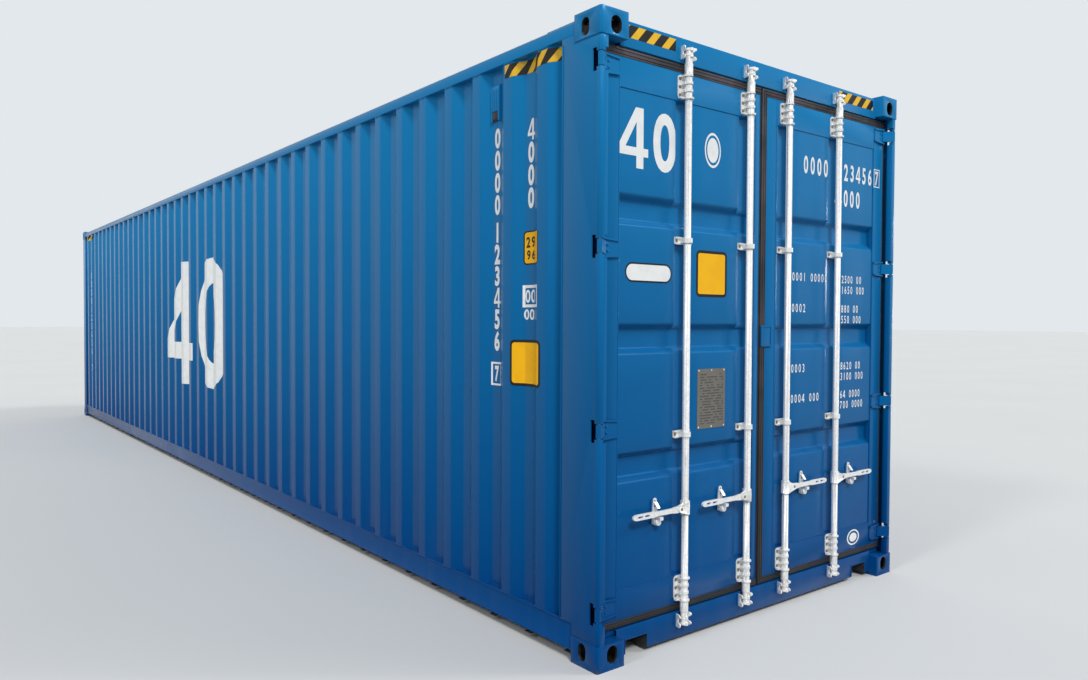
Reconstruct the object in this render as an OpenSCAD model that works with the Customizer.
// Dry freight container, 40 ft high cube, with two door leaves and four lock rods.
// Millimetres. X to the right when facing the doors, Y from the doors to the blind end, Z up.
// The origin is on the ground under the middle of the container.

/* [Overall] */
// Length over the corner fittings
length = 12192; // [5800:1:13700]
// Width over the corner fittings
width = 2438; // [2100:1:2700]
// Height over the corner fittings
height = 2896; // [2400:1:3000]

/* [Corner fittings] */
// Length of a fitting, along the container
fitting_l = 178; // [170:1:190]
// Width of a fitting, across the container
fitting_w = 162; // [150:1:170]
// Height of a fitting
fitting_h = 118; // [114:1:130]
// Wall behind the end and side holes
fitting_wall = 16; // [10:1:22]
// Plate that bears on the ground or on a stacked container
fitting_plate = 28.5; // [22:0.5:32]
// Walls on the two inner faces
fitting_inner = 12; // [8:1:16]
// Length of the twistlock aperture
aperture_l = 124.5; // [110:0.5:130]
// Width of the twistlock aperture
aperture_w = 63.5; // [55:0.5:68]
// Aperture centre from the end of the container
aperture_from_end = 103.5; // [98:0.5:106]
// Aperture centre from the side of the container
aperture_from_side = 89.5; // [80:0.5:92]
// Width of the hole in the end face
end_hole_w = 63.5; // [50:0.5:66]
// Width of the hole in the side face
side_hole_w = 51; // [44:0.5:60]
// Height of the holes in the end and side faces
face_hole_h = 79.5; // [70:0.5:80]
// Radius of the outer upright edge of a fitting
fitting_r = 12; // [6:1:15]

/* [Corner posts] */
// Steel of the corner posts
post_t = 6; // [4:0.5:8]
// Face of posts behind the face of the fittings
post_inset = 4; // [3:0.5:6]
// Width of the rear post that shows beside the door
post_face_w = 43; // [38:1:46]
// Depth of the rear post along the side of the container
post_side_w = 262; // [220:1:300]
// Inner channel of the rear post, along the container
channel_l = 113; // [100:1:130]
// Web of the inner channel
channel_t = 12; // [8:1:14]
// Width of the front post across the container
front_post_w = 55; // [45:1:70]

/* [Rails and end frames] */
// Height of the hollow section along the roof edge
top_rail_h = 56; // [50:1:80]
// Width of that section
top_rail_w = 60; // [50:1:70]
// Steel of the hollow section
rail_t = 3; // [2:0.5:5]
// Underside of the bottom side rail above the ground
bottom_rail_z = 52; // [40:1:60]
// Top of the bottom side rail above the ground
bottom_rail_top = 176; // [165:1:176]
// Steel of the bottom side rail
bottom_rail_t = 5; // [4:0.5:6]
// Inward flange at the top of the bottom side rail
bottom_rail_flange = 48; // [42:1:52]
// Face of header and sill behind the end face of the fittings
frame_inset = 50; // [46:1:50]
// Underside of the door header above the ground, from the top of the container
header_drop = 130; // [124:1:134]
// Steel of header and sill
frame_t = 6; // [4:0.5:8]
// Underside of the door sill above the ground
sill_z = 20; // [14:1:30]
// Top of the door sill above the ground
sill_top = 145; // [138:1:146]
// Width of each cut-out in the sill
cutout_w = 139; // [120:1:160]
// Height of each cut-out in the sill
cutout_h = 67; // [50:1:80]
// Gap between fitting and cut-out
cutout_gap = 54; // [40:1:70]
// Depth of the hollow rail over the front wall
front_rail_l = 60; // [50:1:75]
// Depth of the front sill
front_sill_l = 94; // [80:1:100]
// Face of the front wall, its rail and its sill behind the end face of the fittings
front_inset = 12; // [8:1:20]
// Edge of the top flange of the bottom side rail behind the side of the container
rail_inset = 6; // [4:1:8]
// Web of the bottom side rail behind the side of the container
web_inset = 10; // [9:1:14]
// Lower ledge of the bottom side rail behind the side of the container
ledge_inset = 2; // [1:0.5:5]

/* [Sheets] */
// Thickness of the corrugated side and end sheets
sheet_t = 2; // [1.6:0.1:3]
// Outer flats of the side sheets behind the side of the container
side_inset = 8; // [6:0.5:9]
// Depth of the side corrugation
side_depth = 36; // [30:1:38]
// Length of one whole side corrugation
side_pitch = 278; // [260:1:290]
// Outer flat of the side corrugation
side_outer = 72; // [60:1:80]
// Slope of the side corrugation, measured along the wall
side_slope = 68; // [50:1:72]
// Flat between the rear post and the first corrugation
side_lead = 43; // [30:1:60]
// Depth of the front wall corrugation
front_depth = 45.6; // [36:0.2:48]
// Length of one whole front corrugation
front_pitch = 250; // [230:1:260]
// Outer flat of the front corrugation
front_outer = 110; // [100:1:114]
// Slope of the front corrugation, measured along the wall
front_slope = 18; // [14:1:20]
// Depth of the roof corrugation
roof_depth = 20; // [16:1:22]
// Length of one whole roof corrugation
roof_pitch = 209; // [200:1:220]
// Top flat of one roof corrugation
roof_crest = 91; // [80:1:100]
// Slope of the roof corrugation, measured along the roof
roof_slope = 13.5; // [10:0.5:18]
// Highest point of the roof below the top of the fittings
roof_drop = 6; // [5:0.5:8]
// Flat strip of roof at each side
roof_margin = 90; // [70:1:120]
// Flat strip of roof at each end
roof_end_flat = 230; // [210:1:320]
// Thickness of the plates on the roof beside the fittings
corner_plate_t = 4; // [3:0.5:4]
// Width of those plates
corner_plate_w = 380; // [200:1:500]
// Length of those plates
corner_plate_l = 200; // [120:1:220]

/* [Base] */
// Height of a cross member
member_h = 122; // [110:1:124]
// Flange width of a cross member
member_w = 45; // [40:1:60]
// Steel of a cross member
member_t = 4; // [3:0.5:6]
// Spacing of the cross members
member_pitch = 300; // [250:1:400]
// Thickness of the plywood floor
floor_t = 28; // [24:1:28]
// Length of the gooseneck tunnel
tunnel_l = 3150; // [2600:1:3300]
// Clear width of the gooseneck tunnel
tunnel_w = 1029; // [980:1:1080]
// Clear height of the gooseneck tunnel
tunnel_h = 120; // [110:1:122]
// Width of the rails beside the tunnel
tunnel_rail_w = 20; // [12:1:30]
// Width of the bows between the tunnel and the floor
bow_w = 60; // [40:1:80]
// Spacing of those bows
bow_pitch = 450; // [400:1:600]

/* [Ventilators] */
// Width of a ventilator cover
vent_w = 66; // [50:1:68]
// Height of a ventilator cover
vent_h = 194; // [150:1:240]
// How far a cover stands out of the sheet
vent_d = 18; // [12:1:24]
// Top of the covers below the top rail
vent_drop = 74; // [60:1:100]

/* [Door leaves] */
// Outer face of a leaf behind the end face of the fittings
leaf_inset = 57; // [55:1:57]
// Thickness of a leaf
leaf_t = 50; // [45:1:50]
// Outer edge of a leaf from the side of the container
leaf_edge = 59; // [57:1:62]
// Inner edge of the left leaf from the middle
left_inner = 46; // [44:1:60]
// Inner edge of the right leaf from the middle
right_inner = 5; // [5:1:12]
// Underside of a leaf above the ground
leaf_z = 178; // [176:1:184]
// Top edge of a leaf below the top of the container
leaf_drop = 166; // [164:1:180]
// Width of the outer upright
stile_w = 105; // [95:1:110]
// Width of the inner upright of the left leaf
left_stile_w = 41; // [36:1:50]
// Width of the inner upright of the right leaf
right_stile_w = 89; // [80:1:95]
// Height of the lower and upper cross rails of a leaf
leaf_rail_h = 141; // [120:1:150]
// Wall of the hollow sections of a leaf
leaf_wall = 3; // [2.5:0.5:5]
// Face of the panel behind the face of the frame
panel_inset = 3; // [2:0.5:5]
// Depth of the troughs across a leaf
trough_d = 36; // [28:1:40]
// Floor of a trough
trough_floor = 84; // [70:1:95]
// Slope of a trough, measured up the panel
trough_slope = 28; // [20:1:34]
// Distance from trough to trough
trough_pitch = 587; // [500:1:620]
// Middle of the middle trough above the ground
trough_mid = 1460; // [1300:1:1500]
// Width of the groove behind a lock rod
groove_w = 100; // [80:1:110]
// Depth of the groove behind a lock rod
groove_d = 20; // [12:1:24]
// How far the lips of the gasket reach past the leaf above and below
lip = 28; // [20:1:28]
// How far the lips of the gasket reach past the outer edge of a leaf
side_lip = 8; // [6:1:9]
// Width of the gasket on the inner edge of the right leaf
centre_lip = 35; // [28:1:36]

/* [Hinges] */
// Distance of the hinge pins from the side and end of the container
pin_inset = 18; // [17:0.5:20]
// Diameter of a hinge pin
pin_d = 16; // [12:1:18]
// Play of a pin in the lugs of the post, on the radius
lug_play = 0.2; // [0.1:0.1:0.5]
// Play of a hinge knuckle on its pin, on the radius
knuckle_play = 0.5; // [0.2:0.1:0.8]
// Diameter of a hinge knuckle
knuckle_d = 28; // [24:1:28]
// Height of a hinge knuckle
knuckle_h = 60; // [50:1:64]
// Height of the notch in the post at a hinge
notch_h = 100; // [90:1:110]
// Middle of the lowest hinge above the lower edge of a leaf
hinge_low = 75; // [65:1:120]
// Middle of the highest hinge below the upper edge of a leaf
hinge_high = 58; // [56:1:120]
// Length of the hinge blade on the leaf
blade_l = 100; // [80:1:110]
// Thickness of the hinge blade
blade_t = 12; // [10:1:12]
// Height of the hinge blade beside the pin
blade_root_h = 90; // [80:1:96]
// Height of the hinge blade at its far end
blade_tip_h = 112; // [60:1:112]

/* [Lock gear] */
// Lock rods from the middle of the container, inner pair
rod_inner_x = 165; // [155:1:175]
// Lock rods from the middle of the container, outer pair
rod_outer_x = 635; // [600:1:650]
// Axis of the lock rods behind the end face of the fittings
rod_inset = 26; // [26:0.5:27]
// Diameter of a lock rod
rod_d = 34; // [30:1:34]
// Play of a rod in its brackets, on the radius
rod_play = 1; // [0.5:0.1:1.5]
// Outer diameter of a rod bracket
bearing_d = 50; // [46:1:50]
// Width of the base plate of a rod bracket
bracket_w = 100; // [90:1:110]
// Height of the base plate of a rod bracket
bracket_h = 110; // [90:1:120]
// Middle of the lowest and highest rod brackets from the edge of a leaf
bracket_end = 80; // [75:1:85]
// Width of the base plate of a rod guide
guide_w = 114; // [112:1:130]
// Height of a rod guide
guide_h = 36; // [30:1:44]
// Lower rod guides above the ground
guide_low_z = 1002; // [960:1:1040]
// Upper rod guides above the ground
guide_high_z = 1925; // [1880:1:1960]
// Thickness of base plates on the leaf
plate_t = 5; // [4:0.5:6]
// Height of a cam on the end of a rod
cam_h = 44; // [36:1:50]
// Lower end of the lock rods above the ground
cam_low = 84; // [76:1:88]
// Upper end of the lock rods below the top of the container
cam_drop = 64; // [56:1:68]
// Clear width between the two lugs of a keeper
keeper_gap = 60; // [58:1:66]
// Thickness of the lugs of a keeper
keeper_t = 8; // [6:1:10]
// Height of a keeper
keeper_h = 62; // [54:1:66]
// How far the lugs of a keeper reach from its base plate
keeper_reach = 36; // [28:1:38]

/* [Handles] */
// Handles above the ground
handle_z = 650; // [620:1:680]
// End of a handle from the axis of its rod
handle_reach = 362; // [330:1:380]
// Pivot of a handle from the axis of its rod
pivot_x = 48; // [46:1:56]
// Diameter of the pivot of a handle
pivot_d = 12; // [10:1:14]
// Play of a handle on its pivot, on the radius
pivot_play = 0.5; // [0.2:0.1:0.8]
// Thickness of a handle
handle_t = 10; // [8:1:10]
// Middle of a handle in front of the axis of its rod
handle_lead = 13; // [12.5:0.5:13.5]
// Steel of the fork that holds a handle
clevis_t = 5; // [4:0.5:5]
// Height of that fork at the rod
clevis_h = 60; // [50:1:70]
// Radius of the rounded ends of fork and handle
clevis_r = 16; // [14:0.5:16]
// Diameter of the collar on the rod at the handle
collar_d = 46; // [42:1:48]
// Height of a handle at its grip
grip_h = 28; // [24:1:30]
// Retainer from the axis of the rod
retainer_x = 180; // [165:1:200]
// Width of the base plate of a retainer
retainer_w = 45; // [40:1:52]
// Height of the base plate of a retainer
retainer_h = 120; // [110:1:130]

/* [Plates] */
// Width of the data plate
data_w = 209; // [180:1:230]
// Height of the data plate
data_h = 295; // [260:1:310]
// Lower edge of the data plate above the ground
data_z = 1012; // [990:1:1030]
// Left edge of the data plate from the middle
data_x = 517; // [510:1:520]
// Width of the plate that covers the joint between the leaves
cover_w = 89; // [84:1:92]
// Height of the plate that covers the joint between the leaves
cover_h = 111; // [90:1:130]
// Lower edge of that plate above the ground
cover_z = 1411; // [1380:1:1420]

/* [Hidden] */

$fn = 48;
cut = 1;

blue = "steelblue";
zinc = "gainsboro";
seal = "dimgray";

half_l = length / 2;
half_w = width / 2;
post_x = half_w - post_inset;
post_y = half_l - post_inset;
fitting_y = half_l - fitting_l;
fitting_x = half_w - fitting_w;
fitting_top = height - fitting_h;
hole_z = fitting_plate + face_hole_h / 2;

roof_z = height - roof_drop;
rail_top = roof_z - roof_depth - sheet_t;
rail_z = rail_top - top_rail_h;
header_z = height - header_drop;
header_top = height - 2 * roof_drop;
frame_y = half_l - frame_inset;

post_r = pin_inset - post_inset;
post_end = post_y - post_side_w;
post_lip_l = 32;
notch_l = 54;
channel_lap = 2;
channel_x = post_x - post_face_w - channel_lap;
channel_gap = 9;

side_face = half_w - side_inset;
side_inner = side_face - side_depth;
side_start = side_lead - post_end;
side_count = floor((fitting_y - side_start) / side_pitch);
side_flat = side_pitch - side_outer - 2 * side_slope;

rail_face = half_w - rail_inset;
web_face = half_w - web_inset;
ledge_face = half_w - ledge_inset;
member_x = web_face - bottom_rail_t;
flange_tip = rail_face - bottom_rail_flange;

floor_z = leaf_z - floor_t;
member_z = floor_z - member_h;
member_lead = 20;
leaf_face = half_l - leaf_inset;
leaf_back = leaf_face - leaf_t;
sill_back_gap = 6;
threshold_drop = 2;
floor_y0 = sill_back_gap + frame_t - leaf_back;
front_face = half_l - front_inset;
front_sill_y = front_face - front_sill_l;
front_post_x = post_x - front_post_w;
tunnel_y = half_l - tunnel_l;
tunnel_x = tunnel_w / 2;
tunnel_out = tunnel_x + tunnel_rail_w;

leaf_x = half_w - leaf_edge;
leaf_top = height - leaf_drop;
panel_face = leaf_face - panel_inset;
panel_z = leaf_z + leaf_rail_h;
panel_top = leaf_top - leaf_rail_h;
gasket_d = 32;
left_lip = 5;
cover_t = 6;

pin_x = half_w - pin_inset;
pin_y = half_l - pin_inset;
hinge_first = leaf_z + hinge_low;
hinge_last = leaf_top - hinge_high;
hinge_zs = [for (i = [0:3]) hinge_first + i * (hinge_last - hinge_first) / 3];
knuckle_gap = 4;
lug_h = (notch_h - knuckle_h) / 2 - knuckle_gap;
lug_root = 4;

rod_y = half_l - rod_inset;
cam_top = height - cam_drop;
cam_lobe_r = 10;
cam_throw = 14;
sleeve_d = 40;
sleeve_h = 52;
sleeve_gap = 2;
keeper_zs = [cam_low + cam_h / 2, cam_top - cam_h / 2];
bracket_zs = [leaf_z + bracket_end, leaf_top - bracket_end];
guide_zs = [guide_low_z, guide_high_z];
rod_xs = [rod_inner_x, rod_outer_x];

handle_mid = rod_y + handle_lead;
clevis_gap = 2;
grip_gap = 2;

// Mirrored copies
module both_sides() {
    children();
    mirror([1, 0, 0]) children();
}

module both_ends() {
    children();
    mirror([0, 1, 0]) children();
}

module tube_along_x(size, wall) {
    difference() {
        cube(size);
        translate([-cut, wall, wall]) cube([size[0] + 2 * cut, size[1] - 2 * wall, size[2] - 2 * wall]);
    }
}

module tube_along_y(size, wall) {
    difference() {
        cube(size);
        translate([wall, -cut, wall]) cube([size[0] - 2 * wall, size[1] + 2 * cut, size[2] - 2 * wall]);
    }
}

module tube_along_z(size, wall) {
    difference() {
        cube(size);
        translate([wall, wall, -cut]) cube([size[0] - 2 * wall, size[1] - 2 * wall, size[2] + 2 * cut]);
    }
}

// A rectangle from the origin, with the corner at the origin rounded
module round_corner(size, r) {
    difference() {
        square(size);
        difference() {
            translate([-cut, -cut]) square(r + cut);
            translate([r, r]) circle(r);
        }
    }
}

module upright_slot(w, h, depth) {
    linear_extrude(depth) {
        translate([0, (h - w) / 2]) circle(d = w);
        translate([0, (w - h) / 2]) circle(d = w);
        square([w, h - w], center = true);
    }
}

// Corner fittings
// Outer corner at the origin, bearing plate at the bottom
module fitting() {
    inner = [
        fitting_w - fitting_wall - fitting_inner,
        fitting_l - fitting_wall - fitting_inner,
        fitting_h - fitting_plate - fitting_inner
    ];
    difference() {
        linear_extrude(fitting_h) round_corner([fitting_w, fitting_l], fitting_r);
        translate([fitting_wall, fitting_wall, fitting_plate]) cube(inner);
        translate([aperture_from_side, aperture_from_end, -cut])
            linear_extrude(fitting_plate + 2 * cut)
                intersection() {
                    circle(d = aperture_l);
                    square([aperture_w, aperture_l], center = true);
                }
        translate([-cut, aperture_from_end, hole_z])
            rotate([90, 0, 90]) upright_slot(side_hole_w, face_hole_h, fitting_wall + 2 * cut);
        translate([aperture_from_side, fitting_wall + cut, hole_z])
            rotate([90, 0, 0]) upright_slot(end_hole_w, face_hole_h, fitting_wall + 2 * cut);
    }
}

module bottom_corner_fittings() {
    color(blue) both_sides() both_ends() translate([-half_w, -half_l, 0]) fitting();
}

module top_corner_fittings() {
    color(blue) both_sides() both_ends()
        translate([-half_w, -half_l, height]) mirror([0, 0, 1]) fitting();
}

// Corner posts
module front_corner_posts() {
    size = [front_post_w, post_y - fitting_y];
    color(blue) both_sides()
        translate([-post_x, post_y, fitting_h]) mirror([0, 1, 0])
            linear_extrude(fitting_top - fitting_h) difference() {
                round_corner(size, post_r);
                translate([post_t, post_t])
                    round_corner([size[0] - 2 * post_t, size[1] - 2 * post_t], post_r - post_t);
            }
}

module rear_post_section() {
    translate([-post_x, -post_y]) difference() {
        round_corner([post_face_w, post_y - fitting_y], post_r);
        translate([post_t, post_t])
            round_corner([post_face_w - 2 * post_t, fitting_l], post_r - post_t);
        translate([post_t, post_lip_l]) square([post_face_w, fitting_l]);
    }
}

module channel_section(y0, y1) {
    x0 = post_t - post_x;
    difference() {
        translate([x0, y0]) square([-channel_x - x0, y1 - y0]);
        translate([x0 - cut, y0 + channel_t])
            square([-channel_x - x0 - channel_t + cut, y1 - y0 - 2 * channel_t]);
    }
}

module rear_post() {
    over_fitting = fitting_top - fitting_h;
    over_rail = rail_z - bottom_rail_top;
    channel_y = channel_gap - leaf_back;
    difference() {
        translate([0, 0, fitting_h]) linear_extrude(over_fitting) rear_post_section();
        for (z = hinge_zs)
            translate([-half_w, -half_l, z - notch_h / 2])
                cube([half_w - channel_x, notch_l + post_inset, notch_h]);
    }
    translate([0, 0, bottom_rail_top]) linear_extrude(over_rail) {
        translate([-post_x, -fitting_y]) square([post_t, fitting_y - post_end]);
        translate([-post_x, -post_end - post_t]) square([post_x - side_inner + sheet_t, post_t]);
    }
    intersection() {
        translate([0, 0, fitting_h]) linear_extrude(over_fitting)
            channel_section(channel_y, channel_y + channel_l);
        union() {
            translate([-post_x, -half_l, 0]) cube([post_x, fitting_l, height]);
            translate([-post_x, -fitting_y, bottom_rail_top]) cube([post_x, fitting_l, over_rail]);
        }
    }
    for (z = hinge_zs) {
        hinge_lug(z + notch_h / 2 - lug_h);
        hinge_lug(z - notch_h / 2 - lug_root);
    }
}

module hinge_lug(z) {
    translate([0, 0, z]) linear_extrude(lug_h + lug_root) difference() {
        translate([-post_x, -post_y]) round_corner([2 * post_r, 2 * post_r], post_r);
        translate([-pin_x, -pin_y]) circle(d = pin_d + 2 * lug_play);
    }
}

module rear_corner_posts() {
    color(blue) both_sides() rear_post();
}

module hinge_pins() {
    color("darkgray") both_sides() for (z = hinge_zs)
        translate([-pin_x, -pin_y, z]) cylinder(d = pin_d, h = notch_h + 2 * lug_root, center = true);
}

// Rails along the container
module top_side_rails() {
    color(blue) both_sides()
        translate([-post_x, -fitting_y, rail_z])
            tube_along_y([top_rail_w, 2 * fitting_y, top_rail_h], rail_t);
}

module bottom_side_rails() {
    size_y = 2 * fitting_y;
    color(blue) both_sides() translate([0, -fitting_y, 0]) {
        translate([-web_face, 0, bottom_rail_z])
            cube([bottom_rail_t, size_y, bottom_rail_top - bottom_rail_z]);
        translate([-rail_face, 0, bottom_rail_top - bottom_rail_t])
            cube([bottom_rail_flange, size_y, bottom_rail_t]);
        translate([-ledge_face, 0, bottom_rail_z])
            cube([ledge_face - member_x, size_y, bottom_rail_t]);
    }
}

// Header and sill of the door end
// Blocks between the frame and the channel of the post, from the back of a leaf to the rail
module end_closers(z0, z1) {
    front = leaf_back + leaf_t / 2;
    both_sides() translate([-channel_x, -front, z0])
        cube([channel_x - fitting_x, front - fitting_y, z1 - z0]);
}

module door_header() {
    color(blue) {
        translate([-fitting_x, -frame_y, header_z])
            tube_along_x([2 * fitting_x, frame_y - fitting_y, header_top - header_z], frame_t);
        end_closers(header_z, fitting_top);
    }
}

module door_sill() {
    deep = frame_y - fitting_y;
    cut_x = fitting_x - cutout_gap;
    color(blue) {
        difference() {
            union() {
                translate([-fitting_x, -frame_y, sill_z]) cube([2 * fitting_x, frame_t, sill_top - sill_z]);
                translate([-fitting_x, -frame_y, sill_z]) cube([2 * fitting_x, deep / 2, frame_t]);
                both_sides() translate([-cut_x - frame_t, -frame_y, sill_z])
                    cube([cutout_w + 2 * frame_t, deep, cutout_h + frame_t]);
            }
            both_sides() translate([-cut_x, -frame_y - cut, sill_z - cut])
                cube([cutout_w, deep + 2 * cut, cutout_h + cut]);
        }
        translate([-fitting_x, -frame_y, sill_top - frame_t]) cube([2 * fitting_x, deep, frame_t]);
        translate([-fitting_x, -fitting_y - frame_t, sill_z + cutout_h])
            cube([2 * fitting_x, frame_t, sill_top - sill_z - cutout_h]);
        translate([-channel_x, floor_y0 - frame_t, sill_top - frame_t])
            cube([2 * channel_x, frame_t, leaf_z - sill_top + frame_t - threshold_drop]);
        end_closers(fitting_h, sill_top);
    }
}

// Keeper of one cam, with the middle of its back at the origin
module keeper() {
    base_t = 4;
    base_w = keeper_gap + 4 * keeper_t;
    translate([-base_w / 2, -base_t, -keeper_h / 2]) cube([base_w, base_t, keeper_h]);
    both_sides() translate([keeper_gap / 2, -base_t, 0]) rotate([90, 0, 90]) linear_extrude(keeper_t)
        polygon([
            [0, -keeper_h / 2], [0, keeper_h / 2],
            [-keeper_reach, keeper_h / 4], [-keeper_reach, -keeper_h / 4]
        ]);
}

module cam_keepers() {
    color(zinc) both_sides() for (x = rod_xs, z = keeper_zs)
        translate([x, -frame_y, z]) keeper();
}

// Blind end
module front_top_rail() {
    color(blue) translate([-fitting_x, front_face - front_rail_l, fitting_top])
        tube_along_x([2 * fitting_x, front_rail_l, header_top - fitting_top], frame_t);
}

module front_sill() {
    color(blue) difference() {
        union() {
            translate([-front_post_x, front_sill_y, fitting_h])
                tube_along_x([2 * front_post_x, front_sill_l, bottom_rail_top - fitting_h], frame_t);
            both_sides() translate([-fitting_x, front_sill_y, member_z])
                tube_along_x([fitting_x - tunnel_out, front_sill_l, fitting_h - member_z], frame_t);
        }
        translate([-tunnel_x, front_sill_y - cut, 0]) cube([tunnel_w, front_sill_l + 2 * cut, tunnel_h]);
    }
}

// Corrugated sheets, as points along the sheet and depth behind its outer face
function waves(start, end, first, count, pitch, outer, slope, depth) = concat(
    [[start, depth]],
    [for (i = [0:count - 1]) each [
        [first + i * pitch, depth],
        [first + i * pitch + slope, 0],
        [first + i * pitch + slope + outer, 0],
        [first + i * pitch + 2 * slope + outer, depth]
    ]],
    [[end, depth]]
);

function thickened(line, t) = concat(
    line,
    [for (i = [len(line) - 1:-1:0]) [line[i][0], line[i][1] + t]]
);

module side_wall() {
    line = waves(-post_end, fitting_y, side_start, side_count,
        side_pitch, side_outer, side_slope, side_depth);
    translate([-side_face, 0, bottom_rail_top]) linear_extrude(rail_z - bottom_rail_top)
        polygon([for (p = thickened(line, sheet_t)) [p[1], p[0]]]);
}

module left_side_wall() {
    color(blue) side_wall();
}

module right_side_wall() {
    color(blue) mirror([1, 0, 0]) side_wall();
}

module front_end_wall() {
    flat = front_pitch - front_outer - 2 * front_slope;
    count = floor(2 * front_post_x / front_pitch);
    first = (flat - count * front_pitch) / 2;
    line = waves(-front_post_x, front_post_x, first, count,
        front_pitch, front_outer, front_slope, front_depth);
    color(blue) translate([0, front_face, bottom_rail_top])
        linear_extrude(fitting_top - bottom_rail_top)
            polygon([for (p = thickened(line, sheet_t)) [p[0], -p[1]]]);
}

module roof_sheet() {
    span = 2 * fitting_y - 2 * roof_end_flat;
    count = floor(span / roof_pitch);
    first = -count * roof_pitch / 2 + (roof_pitch - roof_crest - 2 * roof_slope) / 2;
    line = waves(-fitting_y, fitting_y, first, count, roof_pitch, roof_crest, roof_slope, roof_depth);
    edge = post_x - roof_margin;
    low = [[fitting_y, roof_depth + sheet_t], [-fitting_y, roof_depth + sheet_t]];
    color(blue) {
        translate([-edge, 0, roof_z]) rotate([90, 0, 90]) linear_extrude(2 * edge)
            polygon([for (p = thickened(line, sheet_t)) [p[0], -p[1]]]);
        both_sides() translate([-edge, 0, roof_z]) rotate([90, 0, 90]) linear_extrude(sheet_t)
            polygon([for (p = concat(line, low)) [p[0], -p[1]]]);
        both_sides() translate([-rail_face, -fitting_y, rail_top])
            cube([rail_face - edge + sheet_t, 2 * fitting_y, sheet_t]);
        translate([-fitting_x, fitting_y - cut, rail_top])
            cube([2 * fitting_x, front_face - front_rail_l - fitting_y + cut, sheet_t]);
    }
}

module roof_corner_plates() {
    color(blue) both_sides() both_ends()
        translate([-rail_face, -fitting_y, rail_top + sheet_t])
            cube([corner_plate_w, corner_plate_l, corner_plate_t]);
}

// Base
module member(x0, x1) {
    translate([x0, 0, member_z]) difference() {
        cube([x1 - x0, member_w, member_h]);
        translate([-cut, member_t, member_t])
            cube([x1 - x0 + 2 * cut, member_w, member_h - 2 * member_t]);
    }
}

// The last of the long members turns its web to the tunnel and closes its end
module cross_members() {
    color("slategray") {
        for (y = [member_lead - fitting_y:member_pitch:tunnel_y - 3 * member_w])
            translate([0, y, 0]) member(-member_x, member_x);
        translate([0, tunnel_y, 0]) mirror([0, 1, 0]) member(-member_x, member_x);
        both_sides() for (y = [tunnel_y + 3 * member_w:member_pitch:front_sill_y - 2 * member_w])
            translate([0, y, 0]) member(-member_x, -tunnel_out);
    }
}

module tunnel_rails() {
    color("slategray") both_sides() translate([-tunnel_out, tunnel_y, member_z])
        cube([tunnel_rail_w, front_sill_y - tunnel_y, floor_z - member_z]);
}

// Roof of the tunnel, and the bows between it and the floor
module gooseneck_tunnel() {
    color("slategray") {
        translate([-tunnel_x, tunnel_y, tunnel_h])
            cube([tunnel_w, front_sill_y - tunnel_y, frame_t]);
        for (y = [tunnel_y:bow_pitch:front_sill_y - bow_w])
            translate([-tunnel_x, y, tunnel_h]) cube([tunnel_w, bow_w, floor_z - tunnel_h]);
    }
}

module plywood_floor() {
    color("peru") difference() {
        translate([-flange_tip, floor_y0, floor_z])
            cube([2 * flange_tip, front_sill_y - floor_y0, floor_t]);
        both_sides() translate([front_post_x, fitting_y, floor_z - cut])
            cube([front_post_w, fitting_l, floor_t + 2 * cut]);
    }
}

module ventilators() {
    // Middles of the second inner flats from both ends
    first = side_start + 2 * side_pitch - side_flat / 2;
    last = side_start + (side_count - 2) * side_pitch - side_flat / 2;
    top = rail_z - vent_drop;
    color("silver") both_sides() for (y = [first, last])
        translate([-side_inner, y + vent_w / 2, top]) rotate([90, 0, 0]) linear_extrude(vent_w)
            polygon([[0, 0], [-vent_d / 2, 0], [-vent_d, -vent_d], [-vent_d, -vent_h], [0, -vent_h]]);
}

// Door leaves, drawn on the right of the middle and mirrored for the left
module leaf_frame(inner, inner_stile) {
    long = leaf_top - leaf_z;
    span = leaf_x - stile_w - inner - inner_stile;
    translate([inner, -leaf_face, leaf_z]) tube_along_z([inner_stile, leaf_t, long], leaf_wall);
    translate([leaf_x - stile_w, -leaf_face, leaf_z]) tube_along_z([stile_w, leaf_t, long], leaf_wall);
    for (z = [leaf_z, panel_top])
        translate([inner + inner_stile, -leaf_face, z]) difference() {
            cube([span, leaf_t, leaf_rail_h]);
            translate([-cut, leaf_wall, leaf_wall])
                cube([span + 2 * cut, leaf_t, leaf_rail_h - 2 * leaf_wall]);
        }
}

// A trough or a groove in the panel, from its open side to its floor
module hollow_shape(mouth, base, depth, t) {
    polygon([
        [-mouth / 2 - t, 0], [-base / 2 - t, depth + t], [base / 2 + t, depth + t], [mouth / 2 + t, 0]
    ]);
}

module troughs(x0, x1, t) {
    mouth = trough_floor + 2 * trough_slope;
    for (i = [-1:1])
        translate([x0, -panel_face, trough_mid + i * trough_pitch])
            rotate([0, 90, 0]) linear_extrude(x1 - x0)
                hollow_shape(mouth, trough_floor, trough_d, t);
}

module grooves(t) {
    for (x = rod_xs)
        translate([x, -panel_face, panel_z]) linear_extrude(panel_top - panel_z)
            hollow_shape(groove_w, groove_w - groove_d, groove_d, t);
}

module leaf_panel(x0, x1) {
    difference() {
        union() {
            translate([x0, -panel_face, panel_z]) cube([x1 - x0, sheet_t, panel_top - panel_z]);
            troughs(x0, x1, sheet_t);
            grooves(sheet_t);
        }
        troughs(x0 - cut, x1 + cut, 0);
        grooves(0);
    }
}

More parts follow.
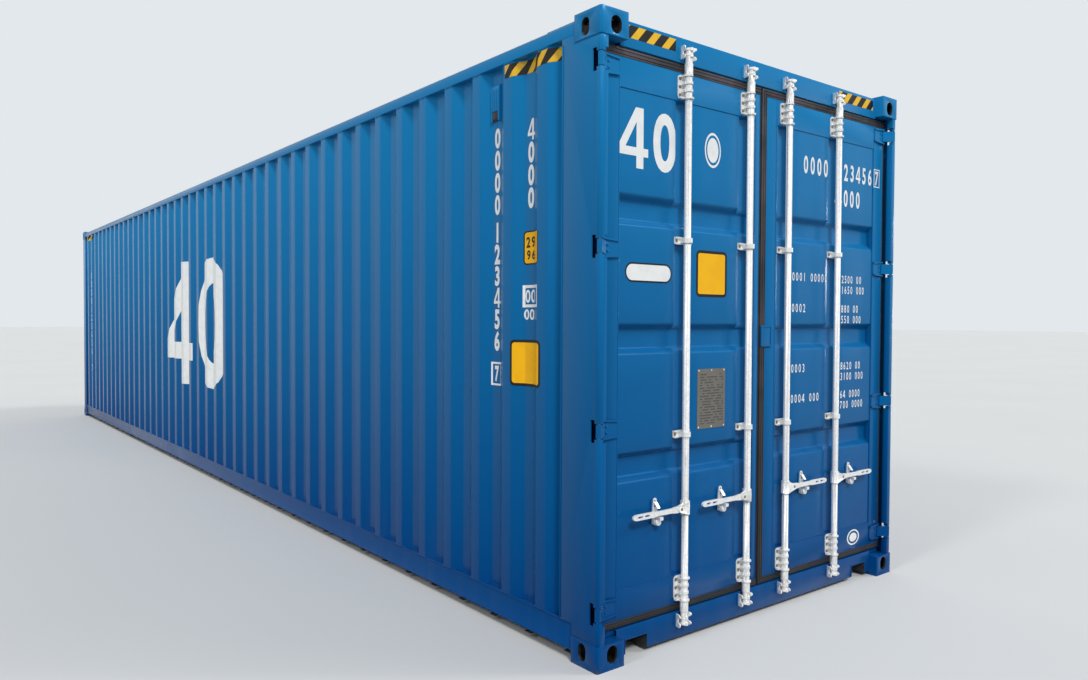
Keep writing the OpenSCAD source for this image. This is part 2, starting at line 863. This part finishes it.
module leaf_gasket(inner_edge, inner_lip) {
    x0 = inner_edge - inner_lip;
    x1 = leaf_x + side_lip;
    long = leaf_top - leaf_z + 2 * lip;
    for (z = [leaf_z - lip, leaf_top]) translate([x0, -panel_face, z]) cube([x1 - x0, gasket_d, lip]);
    translate([x0, -panel_face, leaf_z - lip]) cube([inner_lip, gasket_d, long]);
    translate([leaf_x, -panel_face, leaf_z - lip]) cube([side_lip, gasket_d, long]);
}

// Knuckle on the pin, arm to the leaf and blade on its face
module leaf_hinges() {
    reach = pin_x - leaf_x;
    depth = pin_y - leaf_face;
    lap = 19;
    knuckle_r = knuckle_d / 2;
    root_h = blade_root_h / 2;
    tip_h = blade_tip_h / 2;
    for (z = hinge_zs) {
        translate([pin_x, -pin_y, z]) difference() {
            union() {
                cylinder(d = knuckle_d, h = knuckle_h, center = true);
                translate([0, 0, -knuckle_h / 2]) linear_extrude(knuckle_h)
                    polygon([
                        [-knuckle_r / 3, -knuckle_r * 0.9],
                        [-reach - lap, depth - blade_t], [-reach - lap, depth], [-reach, depth],
                        [knuckle_r * 0.6, knuckle_r * 0.7]
                    ]);
            }
            cylinder(d = pin_d + 2 * knuckle_play, h = notch_h, center = true);
        }
        translate([leaf_x, -leaf_face, z]) rotate([90, 0, 0]) linear_extrude(blade_t)
            polygon([[0, -root_h], [0, root_h], [-blade_l, tip_h], [-blade_l, -tip_h]]);
    }
}

// Bracket of a rod, with the axis of the rod at the origin and its plate on the face at seat
module rod_bracket(w, h, seat) {
    rest = rod_y - seat - plate_t;
    bearing_h = h - 2 * plate_t;
    translate([-w / 2, rest, -h / 2]) cube([w, plate_t, h]);
    difference() {
        union() {
            cylinder(d = bearing_d, h = bearing_h, center = true);
            translate([-bearing_d / 2, 0, -bearing_h / 2]) cube([bearing_d, rest, bearing_h]);
        }
        cylinder(r = rod_d / 2 + rod_play, h = h, center = true);
    }
}

module leaf_rod_brackets() {
    for (x = rod_xs) {
        for (z = bracket_zs) translate([x, -rod_y, z]) rod_bracket(bracket_w, bracket_h, leaf_face);
        for (z = guide_zs) translate([x, -rod_y, z]) rod_bracket(guide_w, guide_h, panel_face);
    }
}

// Retainer of one handle, with the origin on the panel behind the handle:
// a seat under the handle, a round knob below it and a sealing lug with a hole above it
module retainer() {
    seat_w = 30;
    seat_h = 18;
    seat_top = -clevis_r - grip_gap;
    seat_l = handle_mid + handle_t / 2 + grip_gap - panel_face;
    knob_d = 24;
    knob_l = seat_l - knob_d / 2;
    lug_t = 6;
    lug_l = handle_mid - handle_t / 2 - lug_t - panel_face;
    lug_top = 56;
    lug_w = 34;
    eye_d = 20;
    hole_d = 10;
    translate([-retainer_w / 2, -plate_t, -retainer_h / 2]) cube([retainer_w, plate_t, retainer_h]);
    translate([-seat_w / 2, -seat_l, seat_top - seat_h]) cube([seat_w, seat_l, seat_h]);
    translate([0, 0, seat_top - seat_h]) rotate([90, 0, 0]) cylinder(d = knob_d, h = knob_l);
    translate([-eye_d / 2, -lug_l, clevis_r + grip_gap]) cube([eye_d, lug_l, seat_h]);
    translate([0, lug_t - lug_l, 0]) rotate([90, 0, 0]) linear_extrude(lug_t) difference() {
        union() {
            translate([0, lug_top]) circle(d = eye_d);
            polygon([
                [-lug_w / 2, -eye_d / 2], [lug_w / 2, -eye_d / 2],
                [eye_d / 2, lug_top], [-eye_d / 2, lug_top]
            ]);
        }
        translate([0, lug_top]) circle(d = hole_d);
    }
}

module leaf_retainers() {
    for (x = rod_xs) translate([x + retainer_x, -panel_face, handle_z]) retainer();
}

module left_door_frame() {
    color(blue) mirror([1, 0, 0]) leaf_frame(left_inner, left_stile_w);
}

module left_door_panel() {
    color(blue) mirror([1, 0, 0]) leaf_panel(left_inner + left_stile_w, leaf_x - stile_w);
}

module left_door_gasket() {
    color(seal) mirror([1, 0, 0]) leaf_gasket(left_inner, left_lip);
}

module left_door_hinges() {
    color(blue) mirror([1, 0, 0]) leaf_hinges();
}

module left_rod_brackets() {
    color(zinc) mirror([1, 0, 0]) leaf_rod_brackets();
}

module left_handle_retainers() {
    color(zinc) mirror([1, 0, 0]) leaf_retainers();
}

module data_plate() {
    color("silver") translate([-data_x, -panel_face - sheet_t, data_z]) cube([data_w, sheet_t, data_h]);
}

module right_door_frame() {
    color(blue) leaf_frame(right_inner, right_stile_w);
}

module right_door_panel() {
    color(blue) leaf_panel(right_inner + right_stile_w, leaf_x - stile_w);
}

module right_door_gasket() {
    color(seal) leaf_gasket(right_inner, centre_lip);
}

module right_door_hinges() {
    color(blue) leaf_hinges();
}

module right_rod_brackets() {
    color(zinc) leaf_rod_brackets();
}

module right_handle_retainers() {
    color(zinc) leaf_retainers();
}

module centre_cover_plate() {
    color(blue) translate([right_inner - centre_lip, -leaf_face - cover_t, cover_z])
        cube([cover_w, cover_t, cover_h]);
}

// Lock rods and handles, drawn on the right of the middle
// Two lobes on the end of a rod
module cam(z) {
    tier = cam_h / 3;
    for (dz = [-tier, tier])
        translate([0, 0, z + dz]) linear_extrude(tier, center = true) {
            translate([0, -cam_throw]) circle(cam_lobe_r);
            translate([-cam_lobe_r, -cam_throw]) square([2 * cam_lobe_r, cam_throw]);
        }
}

module clevis_plate(y) {
    translate([0, y, 0]) rotate([90, 0, 0]) linear_extrude(clevis_t) {
        translate([pivot_x, 0]) circle(clevis_r);
        polygon([[0, -clevis_h / 2], [0, clevis_h / 2], [pivot_x, clevis_r], [pivot_x, -clevis_r]]);
    }
}

module lock_rod(x) {
    low_sleeve = bracket_zs[0] - bracket_h / 2 - sleeve_gap - sleeve_h;
    high_sleeve = bracket_zs[1] + bracket_h / 2 + sleeve_gap;
    back = rod_y - handle_mid + handle_t / 2 + clevis_gap + clevis_t;
    front = rod_y - handle_mid - handle_t / 2 - clevis_gap;
    translate([x, -rod_y, 0]) {
        translate([0, 0, cam_low]) cylinder(d = rod_d, h = cam_top - cam_low);
        for (z = keeper_zs) cam(z);
        translate([0, 0, low_sleeve]) cylinder(d = sleeve_d, h = sleeve_h);
        translate([0, 0, high_sleeve]) cylinder(d = sleeve_d, h = sleeve_h);
        translate([0, 0, handle_z]) {
            cylinder(d = collar_d, h = clevis_h + clevis_t, center = true);
            clevis_plate(back);
            clevis_plate(front);
            translate([pivot_x, back, 0]) rotate([90, 0, 0])
                cylinder(d = pivot_d, h = back - front + clevis_t);
        }
    }
}

module handle(x) {
    tip = handle_reach - pivot_x - grip_h / 2;
    root_h = clevis_r - cut;
    tip_h = grip_h / 2 - cut;
    translate([x + pivot_x, -handle_mid + handle_t / 2, handle_z]) rotate([90, 0, 0]) difference() {
        union() {
            cylinder(r = clevis_r, h = handle_t);
            translate([tip, 0, 0]) cylinder(d = grip_h, h = handle_t);
            linear_extrude(handle_t)
                polygon([[0, -root_h], [0, root_h], [tip, tip_h], [tip, -tip_h]]);
        }
        translate([0, 0, -cut]) cylinder(d = pivot_d + 2 * pivot_play, h = handle_t + 2 * cut);
    }
}

module left_outer_lock_rod() {
    color(zinc) mirror([1, 0, 0]) lock_rod(rod_outer_x);
}

module left_inner_lock_rod() {
    color(zinc) mirror([1, 0, 0]) lock_rod(rod_inner_x);
}

module right_inner_lock_rod() {
    color(zinc) lock_rod(rod_inner_x);
}

module right_outer_lock_rod() {
    color(zinc) lock_rod(rod_outer_x);
}

module left_outer_handle() {
    color(zinc) mirror([1, 0, 0]) handle(rod_outer_x);
}

module left_inner_handle() {
    color(zinc) mirror([1, 0, 0]) handle(rod_inner_x);
}

module right_inner_handle() {
    color(zinc) handle(rod_inner_x);
}

module right_outer_handle() {
    color(zinc) handle(rod_outer_x);
}

top_corner_fittings();
bottom_corner_fittings();
front_corner_posts();
rear_corner_posts();
hinge_pins();
top_side_rails();
bottom_side_rails();
door_header();
door_sill();
cam_keepers();
front_top_rail();
front_sill();
left_side_wall();
right_side_wall();
front_end_wall();
roof_sheet();
roof_corner_plates();
cross_members();
tunnel_rails();
gooseneck_tunnel();
plywood_floor();
ventilators();
left_door_frame();
left_door_panel();
left_door_gasket();
left_door_hinges();
left_rod_brackets();
left_handle_retainers();
data_plate();
right_door_frame();
right_door_panel();
right_door_gasket();
right_door_hinges();
right_rod_brackets();
right_handle_retainers();
centre_cover_plate();
left_outer_lock_rod();
left_inner_lock_rod();
right_inner_lock_rod();
right_outer_lock_rod();
left_outer_handle();
left_inner_handle();
right_inner_handle();
right_outer_handle();
